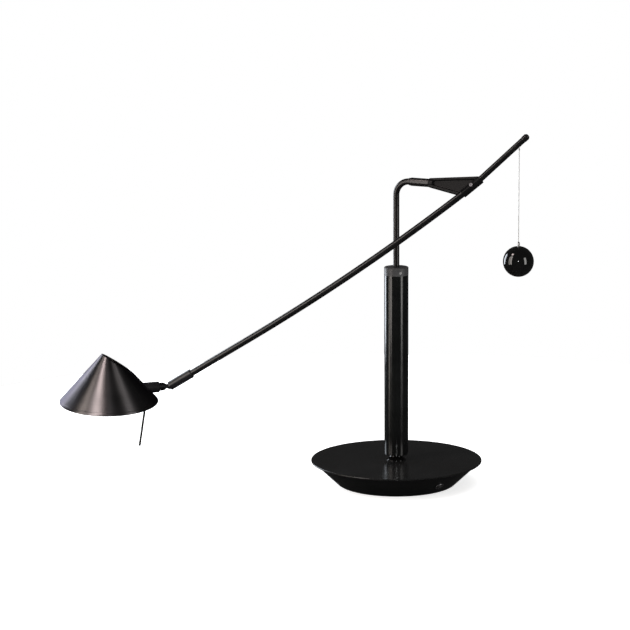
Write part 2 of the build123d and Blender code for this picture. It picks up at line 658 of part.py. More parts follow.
def shade():
    inner_rim, inner_top = inner_cone()
    cone = turned([(SHADE_R, 0), (0, SHADE_H), (0, inner_top), (inner_rim, 0)])
    high_r = cone_radius(SHADE_H - CUT_HIGH)
    cutter = Box(300, 300, 100, align=(Align.CENTER, Align.CENTER, Align.MIN))
    cone -= Pos(-high_r, 0, SHADE_H - CUT_HIGH) * Rot(0, CUT_SLOPE, 0) * cutter
    cone -= stub_line() * up_cylinder(BOSS_R, 200)
    return head_plane.location * cone


def head_boss():
    length = HEAD_REACH - BOSS_FACE_AT - BOSS_INNER_AT
    boss = Pos(0, 0, BOSS_INNER_AT) * up_cylinder(BOSS_R - 0.03, length)
    boss = chamfer(boss.edges().filter_by(GeomType.CIRCLE), 0.8)
    boss -= Cylinder(STUD_SHANK_R + RUN_FIT, 400)
    boss = stub_line() * boss
    boss -= rod_between(*handle_line(), HANDLE_R)
    return head_plane.location * boss


def handle_line():
    """Top and bottom of the handle rod, in the head frame."""
    top = Vector(HANDLE_AT, 0, STUB_ABOVE_RIM - STUD_SHANK_R - 1.2)
    way = Vector(-sin(radians(HANDLE_LEAN)), 0, -cos(radians(HANDLE_LEAN)))
    return top, top + way * HANDLE_LENGTH


def handle_rod():
    top, end = handle_line()
    rod = rod_between(top, end, HANDLE_R)
    rod = fillet(rod.edges().sort_by(Axis.Z)[0], 1.2)
    return head_plane.location * rod


def cross_strap():
    strap = Box(STRAP_W, 2 * SHADE_R, STRAP_T, align=(Align.CENTER, Align.CENTER, Align.MIN))
    strap = Pos(0, 0, STRAP_Z) * (strap - Cylinder(STRAP_SCREW_R + 0.1, 4 * STRAP_T))
    rim, top = inner_cone(SLIP)
    return head_plane.location * (strap & turned([(0, 0), (rim, 0), (0, top)]))


def holder_screw():
    length = 5.0
    shank = Pos(0, 0, STRAP_Z - length) * up_cylinder(STRAP_SCREW_R, length + STRAP_T)
    head = Pos(0, 0, STRAP_Z + STRAP_T) * up_cylinder(*STRAP_SCREW_HEAD)
    return head_plane.location * (shank + head)


def lamp_holder():
    body = Pos(0, 0, HOLDER_Z) * up_cylinder(HOLDER_R, HOLDER_H)
    body = chamfer(body.edges().sort_by(Axis.Z)[-1], 1.0)
    nose_r, nose_l = HOLDER_NOSE
    body += Pos(0, 0, HOLDER_Z - nose_l) * up_cylinder(nose_r, nose_l + 0.5)
    body -= Pos(0, 0, HOLDER_Z + HOLDER_H) * Cylinder(STRAP_SCREW_R + 0.05, 12)
    for spot in GridLocations(PIN_PITCH, 0, 2, 1):
        body -= spot * Pos(0, 0, HOLDER_Z - nose_l) * Cylinder(PIN_R + 0.05, 2 * PIN_H + 1)
    return head_plane.location * body


def halogen_capsule():
    glass = Pos(0, 0, CAPSULE_R) * Sphere(CAPSULE_R)
    glass += Pos(0, 0, CAPSULE_R) * up_cylinder(CAPSULE_R, CAPSULE_H - CAPSULE_R - PINCH_SIZE[2] + 1)
    glass += Pos(0, 0, CAPSULE_H) * Box(*PINCH_SIZE, align=(Align.CENTER, Align.CENTER, Align.MAX))
    return head_plane.location * Pos(0, 0, CAPSULE_TOP_Z - CAPSULE_H) * glass


def capsule_pins():
    pins = []
    for spot in GridLocations(PIN_PITCH, 0, 2, 1):
        pins.append(spot * Pos(0, 0, CAPSULE_TOP_Z + 0.05) * up_cylinder(PIN_R, PIN_H))
    return head_plane.location * Compound(children=pins)


def reflector():
    """Bright dish that hangs round the holder's nose."""
    top_z = HOLDER_Z - 0.05
    outer = [*REFLECTOR_PROFILE, (REFLECTOR_HOLE_R, top_z)]
    inner = [(r - REFLECTOR_T, z) for r, z in REFLECTOR_PROFILE[:2]]
    inner += [(r - REFLECTOR_T / 2, z - REFLECTOR_T) for r, z in REFLECTOR_PROFILE[2:]]
    inner.append((REFLECTOR_HOLE_R, top_z - REFLECTOR_T))
    return head_plane.location * turned(outer + inner[::-1])


PIECES = {
    "foot_pad": foot_pad,
    "bottom_cover": bottom_cover,
    "cover_screws": cover_screws,
    "base_bowl": base_bowl,
    "base_disc": base_disc,
    "ballast_plate": ballast_plate,
    "transformer_core": transformer_core,
    "transformer_coil": transformer_coil,
    "terminal_block": terminal_block,
    "switch_bezel": switch_bezel,
    "switch_body": switch_body,
    "switch_button": switch_button,
    "cord_gland": cord_gland,
    "column_hub": column_hub,
    "hub_nut": hub_nut,
    "column_tube": column_tube,
    "column_collar": column_collar,
    "collar_screw": collar_screw,
    "lower_bush": lambda: bush(LOWER_BUSH_Z),
    "upper_bush": lambda: bush(COLLAR_Z - COLLAR_SPIGOT_H - BUSH_H - SEAT_GAP),
    "crank_rod": crank_rod,
    "thrust_ring": thrust_ring,
    "pivot_ring": pivot_ring,
    "pivot_barrel": pivot_barrel,
    "fishtail_bracket": fishtail_bracket,
    "clamp_screw": clamp_screw,
    "front_arm_tube": front_arm_tube,
    "rear_arm_tube": rear_arm_tube,
    "arm_end_plug": arm_end_plug,
    "hanger_bead": hanger_bead,
    "weight_wire": weight_wire,
    "wire_ferrule": wire_ferrule,
    "counterweight_ball": counterweight_ball,
    "socket_sleeve": socket_sleeve,
    "ball_seat": ball_seat,
    "ball_stud": ball_stud,
    "stud_nut": stud_nut,
    "head_boss": head_boss,
    "handle_rod": handle_rod,
    "shade": shade,
    "cross_strap": cross_strap,
    "holder_screw": holder_screw,
    "lamp_holder": lamp_holder,
    "halogen_capsule": halogen_capsule,
    "capsule_pins": capsule_pins,
    "reflector": reflector,
}

os.makedirs("parts", exist_ok=True)
for node, make in PIECES.items():
    export_step(make(), f"parts/{node}.step")

print("bracket point", bracket_point)
print("pivot axis", pivot_dir)
print("arm line at the socket", socket_dir, "slope", round(socket_slope, 2))
print("ball joint centre", ball_point, "tilt axis", tilt_dir)
print("stud axis", stud_dir, "angle from the arm", round(degrees(acos(stud_dir.dot(socket_dir))), 2))
print("shade axis", shade_axis, "rim centre", head_plane.origin)
print("wire point", wire_point)
print("switch normal", bowl_frame(SWITCH_ANGLE, SWITCH_Z).z_dir)
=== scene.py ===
import json
import math

import bpy
from mathutils import Matrix, Vector


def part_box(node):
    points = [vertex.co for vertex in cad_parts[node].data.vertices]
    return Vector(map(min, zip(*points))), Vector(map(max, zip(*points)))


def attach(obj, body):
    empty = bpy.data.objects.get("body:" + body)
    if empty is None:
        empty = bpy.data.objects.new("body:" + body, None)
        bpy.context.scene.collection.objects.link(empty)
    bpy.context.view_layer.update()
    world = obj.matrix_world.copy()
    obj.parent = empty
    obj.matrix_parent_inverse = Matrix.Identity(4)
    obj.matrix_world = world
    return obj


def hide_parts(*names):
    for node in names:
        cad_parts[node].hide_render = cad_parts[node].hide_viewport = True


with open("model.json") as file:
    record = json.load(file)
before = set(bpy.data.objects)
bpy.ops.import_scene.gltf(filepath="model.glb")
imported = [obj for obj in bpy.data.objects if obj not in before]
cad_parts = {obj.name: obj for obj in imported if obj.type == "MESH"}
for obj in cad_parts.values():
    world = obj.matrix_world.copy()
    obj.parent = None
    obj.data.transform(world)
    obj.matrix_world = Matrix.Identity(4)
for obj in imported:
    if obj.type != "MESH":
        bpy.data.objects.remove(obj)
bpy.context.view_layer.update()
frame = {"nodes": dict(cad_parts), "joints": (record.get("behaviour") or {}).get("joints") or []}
nodes = frame["nodes"]
joints = {j["name"]: j for j in frame["joints"]}


def jointPoint(name):
    return Vector(joints[name]["pos_m"])


def jointAxis(name):
    return Vector(joints[name]["axis"]).normalized()


def frameOf(origin, xAxis, zAxis):
    # where a piece that is modelled round its own axis goes
    z = Vector(zAxis).normalized()
    x = (Vector(xAxis) - z * Vector(xAxis).dot(z)).normalized()
    turn = Matrix((x, z.cross(x), z)).transposed()
    return Matrix.Translation(Vector(origin)) @ turn.to_4x4()


studDir = jointAxis("shade_turn")
wirePoint = jointPoint("hanger_plumb")
shadeAxis = Vector((0.01192, -0.098397, 0.995076))
rimCentre = Vector((-0.41798, -0.0254634, 0.130165))
headFrame = frameOf(rimCentre, studDir, shadeAxis)
shadeApex = rimCentre + shadeAxis * 0.0824
bracketPoint = Vector((0.106781, -0.06165, 0.4471))
armHeading = Vector((math.cos(math.radians(-8)), math.sin(math.radians(-8)), 0))
armFrame = frameOf(bracketPoint, armHeading, armHeading.cross(Vector((0, 0, 1))))


# what every material starts from

def startMaterial(name, colour, roughness, metallic=0.0, specular=0.5):
    material = bpy.data.materials.new(name)
    material.use_nodes = True
    tree = material.node_tree
    shader = tree.nodes["Principled BSDF"]
    shader.inputs["Base Color"].default_value = (*colour, 1)
    shader.inputs["Roughness"].default_value = roughness
    shader.inputs["Metallic"].default_value = metallic
    shader.inputs["Specular IOR Level"].default_value = specular
    return material, tree, shader


def objectCoords(tree, scale=(1, 1, 1)):
    coords = tree.nodes.new("ShaderNodeTexCoord")
    mapping = tree.nodes.new("ShaderNodeMapping")
    mapping.vector_type = "TEXTURE"
    mapping.inputs["Scale"].default_value = scale
    tree.links.new(coords.outputs["Object"], mapping.inputs["Vector"])
    return mapping.outputs["Vector"]


def noiseOn(tree, vector, scale, detail=3.0):
    noise = tree.nodes.new("ShaderNodeTexNoise")
    noise.inputs["Scale"].default_value = scale
    noise.inputs["Detail"].default_value = detail
    tree.links.new(vector, noise.inputs["Vector"])
    return noise.outputs["Fac"]


def varied(tree, factor, low, high):
    span = tree.nodes.new("ShaderNodeMapRange")
    span.inputs["From Min"].default_value = 0.3
    span.inputs["From Max"].default_value = 0.7
    span.inputs["To Min"].default_value = low
    span.inputs["To Max"].default_value = high
    tree.links.new(factor, span.inputs["Value"])
    return span.outputs["Result"]


def tinted(tree, shader, factor, dark, light):
    mix = tree.nodes.new("ShaderNodeMix")
    mix.data_type = "RGBA"
    mix.inputs["A"].default_value = (*dark, 1)
    mix.inputs["B"].default_value = (*light, 1)
    tree.links.new(varied(tree, factor, 0, 1), mix.inputs["Factor"])
    tree.links.new(mix.outputs["Result"], shader.inputs["Base Color"])


def bumped(tree, shader, height, distance):
    bump = tree.nodes.new("ShaderNodeBump")
    bump.inputs["Strength"].default_value = 1.0
    bump.inputs["Distance"].default_value = distance
    tree.links.new(height, bump.inputs["Height"])
    tree.links.new(bump.outputs["Normal"], shader.inputs["Normal"])


# the finishes

def paintFinish(name, colour, roughness, peel=0.000002, peelScale=260, specular=0.35):
    # sprayed paint: a fine orange peel, a little uneven in gloss
    material, tree, shader = startMaterial(name, colour, roughness, specular=specular)
    coords = objectCoords(tree)
    broad = noiseOn(tree, coords, 40)
    tree.links.new(varied(tree, broad, roughness * 0.85, roughness * 1.2), shader.inputs["Roughness"])
    tinted(tree, shader, broad, [c * 0.8 for c in colour], [c * 1.3 for c in colour])
    bumped(tree, shader, noiseOn(tree, coords, peelScale), peel)
    return material


def metalFinish(name, colour, roughness, scratchScale=(1, 1, 1), scratch=0.000001, spread=300):
    # bare or plated metal with fine drawn marks
    material, tree, shader = startMaterial(name, colour, roughness, metallic=1.0)
    coords = objectCoords(tree, scale=scratchScale)
    marks = noiseOn(tree, coords, spread, 5)
    tree.links.new(varied(tree, marks, roughness * 0.8, roughness * 1.25), shader.inputs["Roughness"])
    tinted(tree, shader, noiseOn(tree, objectCoords(tree), 60), [c * 0.85 for c in colour], colour)
    bumped(tree, shader, marks, scratch)
    return material


def plasticFinish(name, colour, roughness, pebble=0.00003, pebbleScale=1400):
    material, tree, shader = startMaterial(name, colour, roughness)
    coords = objectCoords(tree)
    tinted(tree, shader, noiseOn(tree, coords, 90), [c * 0.88 for c in colour], colour)
    bumped(tree, shader, noiseOn(tree, coords, pebbleScale), pebble)
    return material


def gunmetalFinish(name, apex, colour, roughness):
    # spun metal: fine rings round the cone's axis stretch every highlight along the cone
    material, tree, shader = startMaterial(name, colour, roughness, metallic=1.0)
    shader.inputs["Anisotropic"].default_value = 0.85
    # a dark edge tint, so that the bright rear left softbox doesn't burn out the shade's edge
    shader.inputs["Specular Tint"].default_value = (0.3, 0.3, 0.32, 1)
    coords = objectCoords(tree)
    away = tree.nodes.new("ShaderNodeVectorMath")
    away.operation = "SUBTRACT"
    away.inputs[1].default_value = apex
    tree.links.new(coords, away.inputs[0])
    toWorld = tree.nodes.new("ShaderNodeVectorTransform")
    toWorld.vector_type = "VECTOR"
    toWorld.convert_from = "OBJECT"
    toWorld.convert_to = "WORLD"
    tree.links.new(away.outputs["Vector"], toWorld.inputs["Vector"])
    tree.links.new(toWorld.outputs["Vector"], shader.inputs["Tangent"])
    length = tree.nodes.new("ShaderNodeVectorMath")
    length.operation = "LENGTH"
    tree.links.new(away.outputs["Vector"], length.inputs[0])
    ringCoords = tree.nodes.new("ShaderNodeCombineXYZ")
    tree.links.new(length.outputs["Value"], ringCoords.inputs["X"])
    rings = noiseOn(tree, ringCoords.outputs["Vector"], 1500, 4)
    broad = noiseOn(tree, coords, 25)
    tree.links.new(varied(tree, broad, roughness * 0.9, roughness * 1.15), shader.inputs["Roughness"])
    tinted(tree, shader, rings, [c * 0.8 for c in colour], [c * 1.15 for c in colour])
    bumped(tree, shader, rings, 0.000004)
    return material


def glassFinish(name):
    material, tree, shader = startMaterial(name, (1, 1, 1), 0.02)
    shader.inputs["Transmission Weight"].default_value = 1.0
    shader.inputs["IOR"].default_value = 1.46
    bumped(tree, shader, noiseOn(tree, objectCoords(tree), 250), 0.00001)
    return material


def feltFinish(name):
    material, tree, shader = startMaterial(name, (0.03, 0.03, 0.032), 0.95)
    shader.inputs["Sheen Weight"].default_value = 0.4
    coords = objectCoords(tree)
    fibres = noiseOn(tree, coords, 2500, 6)
    tinted(tree, shader, fibres, (0.015, 0.015, 0.016), (0.05, 0.05, 0.052))
    bumped(tree, shader, fibres, 0.0002)
    return material


finishes = {
    "platePaint": paintFinish("platePaint", (0.006, 0.006, 0.006), 0.22, peel=0.000001),
    "bowlPaint": paintFinish("bowlPaint", (0.003, 0.003, 0.003), 0.35, specular=0.2),
    "tubePaint": paintFinish("tubePaint", (0.004, 0.004, 0.0042), 0.24, peel=0.0000004),
    "columnPaint": paintFinish("columnPaint", (0.003, 0.0033, 0.0033), 0.17, peel=0.0000004,
                               specular=0.45),
    "collarSatin": paintFinish("collarSatin", (0.035, 0.035, 0.036), 0.4),
    "crankPaint": paintFinish("crankPaint", (0.005, 0.0045, 0.0045), 0.22, peel=0.0000003,
                              specular=0.3),
    # kept this dull because the left softbox lies where the bracket's web mirrors it
    "bracketCast": paintFinish("bracketCast", (0.004, 0.004, 0.0042), 0.3, peel=0.000004,
                               peelScale=900, specular=0.07),
    "hubGloss": paintFinish("hubGloss", (0.003, 0.003, 0.003), 0.08, peel=0.0000007),
    "socketPaint": paintFinish("socketPaint", (0.006, 0.006, 0.007), 0.28),
    "darkSteel": metalFinish("darkSteel", (0.08, 0.08, 0.085), 0.25),
    "ballLacquer": paintFinish("ballLacquer", (0.003, 0.003, 0.003), 0.04, peel=0.0000005, specular=0.5),
    "brightSteel": metalFinish("brightSteel", (0.5, 0.5, 0.5), 0.3),
    "wireSteel": metalFinish("wireSteel", (0.45, 0.44, 0.43), 0.35),
    "zincSheet": metalFinish("zincSheet", (0.45, 0.45, 0.46), 0.4),
    "roughIron": paintFinish("roughIron", (0.05, 0.05, 0.05), 0.7, peel=0.0003, peelScale=500),
    "copperWinding": metalFinish("copperWinding", (0.6, 0.26, 0.11), 0.35, scratchScale=(9, 9, 0.5),
                                 scratch=0.0002),
    "coreLayers": metalFinish("coreLayers", (0.2, 0.19, 0.19), 0.5, scratchScale=(9, 9, 0.2),
                              scratch=0.0001),
    "creamPlastic": plasticFinish("creamPlastic", (0.72, 0.69, 0.6), 0.5),
    "whitePlastic": plasticFinish("whitePlastic", (0.7, 0.7, 0.67), 0.4),
    "blackPlastic": plasticFinish("blackPlastic", (0.012, 0.012, 0.012), 0.35),
    "ringSteel": metalFinish("ringSteel", (0.3, 0.3, 0.31), 0.35),
    "felt": feltFinish("felt"),
    "ceramic": plasticFinish("ceramic", (0.8, 0.78, 0.72), 0.45),
    "quartz": glassFinish("quartz"),
    "reflectorBright": metalFinish("reflectorBright", (0.85, 0.85, 0.86), 0.12),
}

finishes["gunmetal"] = gunmetalFinish("gunmetal", shadeApex, (0.13, 0.122, 0.126), 0.38)

nodeFinish = {
    "foot_pad": "felt", "bottom_cover": "zincSheet", "cover_screws": "brightSteel",
    "base_bowl": "bowlPaint", "base_disc": "platePaint", "ballast_plate": "roughIron",
    "transformer_core": "coreLayers",
    "transformer_coil": "copperWinding", "terminal_block": "creamPlastic", "switch_bezel": "ringSteel",
    "switch_body": "blackPlastic", "switch_button": "blackPlastic", "cord_gland": "blackPlastic",
    "column_hub": "hubGloss", "hub_nut": "brightSteel", "column_tube": "columnPaint",
    "column_collar": "collarSatin", "collar_screw": "brightSteel", "lower_bush": "whitePlastic",
    "upper_bush": "whitePlastic", "crank_rod": "crankPaint", "thrust_ring": "brightSteel",
    "pivot_ring": "crankPaint", "pivot_barrel": "crankPaint", "fishtail_bracket": "bracketCast",
    "clamp_screw": "darkSteel", "front_arm_tube": "tubePaint", "rear_arm_tube": "tubePaint",
    "arm_end_plug": "tubePaint", "hanger_bead": "wireSteel", "weight_wire": "wireSteel",
    "wire_ferrule": "brightSteel", "counterweight_ball": "ballLacquer", "socket_sleeve": "socketPaint",
    "ball_seat": "whitePlastic", "ball_stud": "darkSteel", "stud_nut": "brightSteel",
    "head_boss": "socketPaint", "handle_rod": "darkSteel", "shade": "gunmetal", "cross_strap": "darkSteel",
    "holder_screw": "brightSteel", "lamp_holder": "ceramic", "halogen_capsule": "quartz",
    "capsule_pins": "ringSteel", "reflector": "reflectorBright",
}

for name, finish in nodeFinish.items():
    mesh = nodes[name].data
    mesh.materials.clear()
    mesh.materials.append(finishes[finish])
    mesh.polygons.foreach_set("material_index", [0] * len(mesh.polygons))
print("finishes set:", len(finishes))


# drawing and spinning, as most pieces here are turned work

mergeWithin = 0.000004


def startFresh():
    if bpy.context.mode != "OBJECT":
        bpy.ops.object.mode_set(mode="OBJECT")
    bpy.ops.object.select_all(action="DESELECT")


def softened(points, rounds=2):
    # cuts the corners of an outline, so that a few points give a flowing curve
    for _ in range(rounds):
        cut = [points[0]]
        for (ax, ay), (bx, by) in zip(points, points[1:]):
            cut.append((ax * 0.75 + bx * 0.25, ay * 0.75 + by * 0.25))
            cut.append((ax * 0.25 + bx * 0.75, ay * 0.25 + by * 0.75))
        points = cut + [points[-1]]
    return points


def arcOf(centre, radius, start, end, count):
    # points of an arc, angles in degrees from the level line
    cx, cy = centre
    angles = [math.radians(start + (end - start) * i / count) for i in range(count + 1)]
    return [(cx + radius * math.cos(a), cy + radius * math.sin(a)) for a in angles]


def drawnFromVertex(name, points):
    # one vertex, extruded from point to point in the XZ plane; millimetres
    startFresh()
    bpy.ops.mesh.primitive_plane_add(size=0.001)
    piece = bpy.context.object
    piece.name = name
    bpy.ops.object.mode_set(mode="EDIT")
    bpy.context.tool_settings.mesh_select_mode = (True, False, False)
    bpy.ops.mesh.select_all(action="SELECT")
    bpy.ops.mesh.merge(type="CENTER")
    bpy.ops.transform.translate(value=(points[0][0] / 1000, 0, points[0][1] / 1000))
    for (ax, az), (bx, bz) in zip(points, points[1:]):
        step = ((bx - ax) / 1000, 0, (bz - az) / 1000)
        bpy.ops.mesh.extrude_region_move(TRANSFORM_OT_translate={"value": step})
    return piece


def spun(name, points, steps):
    # a closed or pole to pole outline, turned round Z
    piece = drawnFromVertex(name, points)
    bpy.ops.mesh.select_all(action="SELECT")
    bpy.ops.mesh.spin(steps=steps, angle=2 * math.pi, center=(0, 0, 0), axis=(0, 0, 1))
    bpy.ops.mesh.select_all(action="SELECT")
    bpy.ops.mesh.remove_doubles(threshold=mergeWithin)
    bpy.ops.mesh.normals_make_consistent(inside=False)
    bpy.ops.object.mode_set(mode="OBJECT")
    return piece


def applied(piece, kind, **settings):
    modifier = piece.modifiers.new(kind.lower(), kind)
    for key, value in settings.items():
        setattr(modifier, key, value)
    startFresh()
    piece.select_set(True)
    bpy.context.view_layer.objects.active = piece
    bpy.ops.object.modifier_apply(modifier=modifier.name)


def finished(piece, where, finish, body, replaced=(), smoothAngle=35):
    # puts a piece in its place for good and ties it to the model
    startFresh()
    piece.select_set(True)
    bpy.context.view_layer.objects.active = piece
    if where is not None:
        piece.matrix_world = where
    bpy.ops.object.transform_apply(location=True, rotation=True, scale=True)
    bpy.ops.object.shade_smooth_by_angle(angle=math.radians(smoothAngle))
    piece.data.materials.clear()
    piece.data.materials.append(finishes[finish])
    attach(piece, body)
    for node in replaced:
        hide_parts(node)
    return piece


# shade: spun cone with a turned hem line, cut on a slant at the top

shadeForm = {"radius": 71.8, "height": 82.4, "wall": 1.2, "hemHeight": 4.4, "hemGroove": 0.22,
             "hemWidth": 0.7, "cutHigh": 10.5, "cutSlope": 35, "bossRadius": 8.02, "bossHeight": 15.3,
             "cutterAt": 60, "cutterLong": 80, "edge": 0.14, "steps": 192}


def shadeRadius(height, inwards=0.0):
    slant = math.hypot(shadeForm["radius"], shadeForm["height"]) / shadeForm["height"]
    return shadeForm["radius"] * (1 - height / shadeForm["height"]) - inwards * slant


wall, hem, groove = shadeForm["wall"], shadeForm["hemHeight"], shadeForm["hemGroove"]
slantLength = math.hypot(shadeForm["radius"], shadeForm["height"])
apexInside = shadeForm["height"] - wall * slantLength / shadeForm["radius"]
halfHem = shadeForm["hemWidth"] / 2
outline = [(shadeRadius(0.5, wall), 0.5), (shadeRadius(0, wall - 0.2), 0), (shadeRadius(0, 0.06), 0),
           (shadeRadius(0.12), 0.12), (shadeRadius(hem - halfHem), hem - halfHem),
           (shadeRadius(hem, groove), hem), (shadeRadius(hem + halfHem), hem + halfHem),
           (0, shadeForm["height"]), (0, apexInside), (shadeRadius(0.5, wall), 0.5)]
shade = spun("shadeShell", outline, shadeForm["steps"])
highZ = shadeForm["height"] - shadeForm["cutHigh"]
slope = math.radians(shadeForm["cutSlope"])
bpy.ops.object.mode_set(mode="EDIT")
bpy.ops.mesh.select_all(action="SELECT")
bpy.ops.mesh.bisect(plane_co=(-shadeRadius(highZ) / 1000, 0, highZ / 1000),
                    plane_no=(math.sin(slope), 0, math.cos(slope)), use_fill=True, clear_outer=True)
bpy.ops.object.mode_set(mode="OBJECT")
startFresh()
cutterPlace = (shadeForm["cutterAt"] / 1000, 0, shadeForm["bossHeight"] / 1000)
bpy.ops.mesh.primitive_cylinder_add(vertices=64, radius=shadeForm["bossRadius"] / 1000,
                                    depth=shadeForm["cutterLong"] / 1000, location=cutterPlace,
                                    rotation=(0, math.pi / 2, 0))
bossCutter = bpy.context.object
applied(shade, "BOOLEAN", object=bossCutter, operation="DIFFERENCE", solver="EXACT")
bpy.data.objects.remove(bossCutter)
applied(shade, "BEVEL", width=shadeForm["edge"] / 1000, segments=2, limit_method="ANGLE",
        angle_limit=math.radians(50))
finished(shade, headFrame, "gunmetal", "head", ["shade"])
print("shade made:", len(shade.data.polygons), "faces")

# bright dish round the capsule

dishForm = {"outside": [(41.5, 8.0), (38.2, 14.5), (32.5, 21.5), (24.5, 27.5), (15.5, 31.6), (6.6, 33.9)],
            "neckInside": (6.6, 33.2), "thick": 0.7, "bead": 0.9, "steps": 128}
outside = softened(dishForm["outside"], 3)
inside = [(r - dishForm["thick"] * 0.75, z - dishForm["thick"] * 0.6) for r, z in outside[::-1]]
inside[0] = dishForm["neckInside"]
dishRim, dishLow = dishForm["outside"][0]
bead = arcOf((dishRim - dishForm["bead"], dishLow), dishForm["bead"], 180, 360, 8)
dish = spun("reflectorDish", outside + inside[:-1] + bead, dishForm["steps"])
finished(dish, headFrame, "reflectorBright", "head", ["reflector"])

# ceramic holder with a grooved body and a nose that the dish hangs on

holderForm = {"low": 30.0, "seat": 34.0, "top": 45.0, "noseRadius": 6.4, "bodyRadius": 8.0, "groove": 0.5,
              "screwHole": 1.55, "steps": 64}
low, seat, top = holderForm["low"], holderForm["seat"], holderForm["top"]
noseR, bodyR, cut = holderForm["noseRadius"], holderForm["bodyRadius"], holderForm["groove"]
holder = spun("holderBody", [
    (0, low), (noseR - 0.6, low), (noseR, low + 0.6), (noseR, seat), (bodyR - 0.4, seat), (bodyR, seat + 0.4),
    (bodyR, seat + 3.0), (bodyR - cut, seat + 3.4), (bodyR - cut, seat + 4.2), (bodyR, seat + 4.6),
    (bodyR, top - 3.6), (bodyR - cut, top - 3.2), (bodyR - cut, top - 2.4), (bodyR, top - 2.0),
    (bodyR, top - 1.1), (bodyR - 0.3, top - 0.4), (bodyR - 1.0, top), (holderForm["screwHole"], top),
    (holderForm["screwHole"], top - 5.6), (0, top - 5.6)], holderForm["steps"])
finished(holder, headFrame, "ceramic", "head", ["lamp_holder"])

# quartz capsule: blown bulb with its tip and a pressed foot; the coiled filament comes after it

capsuleForm = {"top": 29.8, "height": 21.0, "radius": 4.75, "glass": 0.7, "shoulder": 14.4,
               "footWide": 8.0, "footThick": 3.2, "footHigh": 5.6, "footPress": 0.9, "footSink": 0.5,
               "footEdge": 0.3, "steps": 48}
low = capsuleForm["top"] - capsuleForm["height"]
bulbR, glass = capsuleForm["radius"], capsuleForm["glass"]
shoulder = low + capsuleForm["shoulder"]
tip = [(0, low), (0.5, low + 0.1), (0.9, low + 0.55)]
neck = [(bulbR, shoulder), (bulbR - 0.4, shoulder + 0.9), (bulbR - 1.6, shoulder + 1.4), (0, shoulder + 1.5)]
outside = tip + arcOf((0, low + bulbR), bulbR, -77, 0, 14) + neck
inner = bulbR - glass
inside = [(0, shoulder + 0.5), (inner - 1.4, shoulder + 0.4), (inner - 0.3, shoulder),
          (inner, shoulder - 0.7)]
inside += arcOf((0, low + bulbR), inner, 0, -90, 12)
bulb = spun("capsuleBulb", outside, capsuleForm["steps"])
hollow = spun("capsuleHollow", inside, capsuleForm["steps"])
applied(bulb, "BOOLEAN", object=hollow, operation="DIFFERENCE", solver="EXACT")
bpy.data.objects.remove(hollow)
startFresh()
footMiddle = capsuleForm["top"] - capsuleForm["footHigh"] / 2
bpy.ops.mesh.primitive_cube_add(size=1, location=(0, 0, footMiddle / 1000))
foot = bpy.context.object
foot.scale = [capsuleForm[key] / 1000 for key in ("footWide", "footThick", "footHigh")]
bpy.ops.object.transform_apply(location=True, rotation=False, scale=True)
bpy.ops.object.mode_set(mode="EDIT")
bpy.ops.mesh.select_all(action="DESELECT")
bpy.ops.object.mode_set(mode="OBJECT")
for face in foot.data.polygons:
    face.select = abs(face.normal.y) > 0.9
bpy.ops.object.mode_set(mode="EDIT")
bpy.ops.mesh.select_mode(type="FACE")
bpy.ops.mesh.inset(thickness=capsuleForm["footPress"] / 1000, depth=-capsuleForm["footSink"] / 1000,
                   use_individual=True)
bpy.ops.object.mode_set(mode="OBJECT")
applied(foot, "BEVEL", width=capsuleForm["footEdge"] / 1000, segments=3, limit_method="ANGLE",
        angle_limit=math.radians(30))
applied(bulb, "BOOLEAN", object=foot, operation="UNION", solver="EXACT")
bpy.data.objects.remove(foot)
finished(bulb, headFrame, "quartz", "head", ["halogen_capsule"])

filamentForm = {"coilRadius": 0.75, "wire": 0.14, "pitch": 0.5, "turns": 9, "above": 8.5}
startFresh()
bpy.ops.mesh.primitive_circle_add(vertices=8, radius=filamentForm["wire"] / 1000,
                                  location=(filamentForm["coilRadius"] / 1000, 0, 0),
                                  rotation=(math.pi / 2, 0, 0))
filament = bpy.context.object
filament.name = "filamentCoil"
bpy.ops.object.transform_apply(location=True, rotation=True, scale=True)
applied(filament, "SCREW", axis="Z", angle=2 * math.pi, screw_offset=filamentForm["pitch"] / 1000,
        iterations=filamentForm["turns"], steps=16, render_steps=16, use_merge_vertices=True)
half = filamentForm["pitch"] * filamentForm["turns"] / 2
bpy.ops.object.mode_set(mode="EDIT")
bpy.ops.mesh.select_all(action="SELECT")
bpy.ops.transform.translate(value=(0, 0, -half / 1000))
bpy.ops.mesh.select_all(action="DESELECT")
bpy.ops.mesh.select_mode(type="EDGE")
bpy.ops.mesh.select_non_manifold()
bpy.ops.mesh.edge_face_add()
bpy.ops.mesh.select_all(action="SELECT")
bpy.ops.mesh.normals_make_consistent(inside=False)
bpy.ops.object.mode_set(mode="OBJECT")
coilFrame = frameOf(headFrame @ Vector((0, 0, (low + filamentForm["above"]) / 1000)), shadeAxis, studDir)
finished(filament, coilFrame, "ringSteel", "head")
print("head fittings made: dish, holder, capsule and filament")


# ball: lacquered, drilled and countersunk for the wire's ferrule

ballForm = {"radius": 22.0, "drill": 1.42, "sink": 2.0, "deep": 13.5, "drop": 0.1686, "steps": 96}
r, sink = ballForm["radius"], ballForm["sink"]
lip = math.degrees(math.acos(sink / r))
lipZ = math.sqrt(r * r - sink * sink)
outline = [(0, ballForm["deep"]), (ballForm["drill"], ballForm["deep"]), (ballForm["drill"], lipZ - 0.35),
           (sink - 0.2, lipZ - 0.06)] + arcOf((0, 0), r, lip, -90, 60)
ball = spun("lacqueredBall", outline, ballForm["steps"])
finished(ball, Matrix.Translation(wirePoint - Vector((0, 0, ballForm["drop"]))), "ballLacquer", "weight",
         ["counterweight_ball"])

# crimped ferrule on the ball, with two rolled grooves

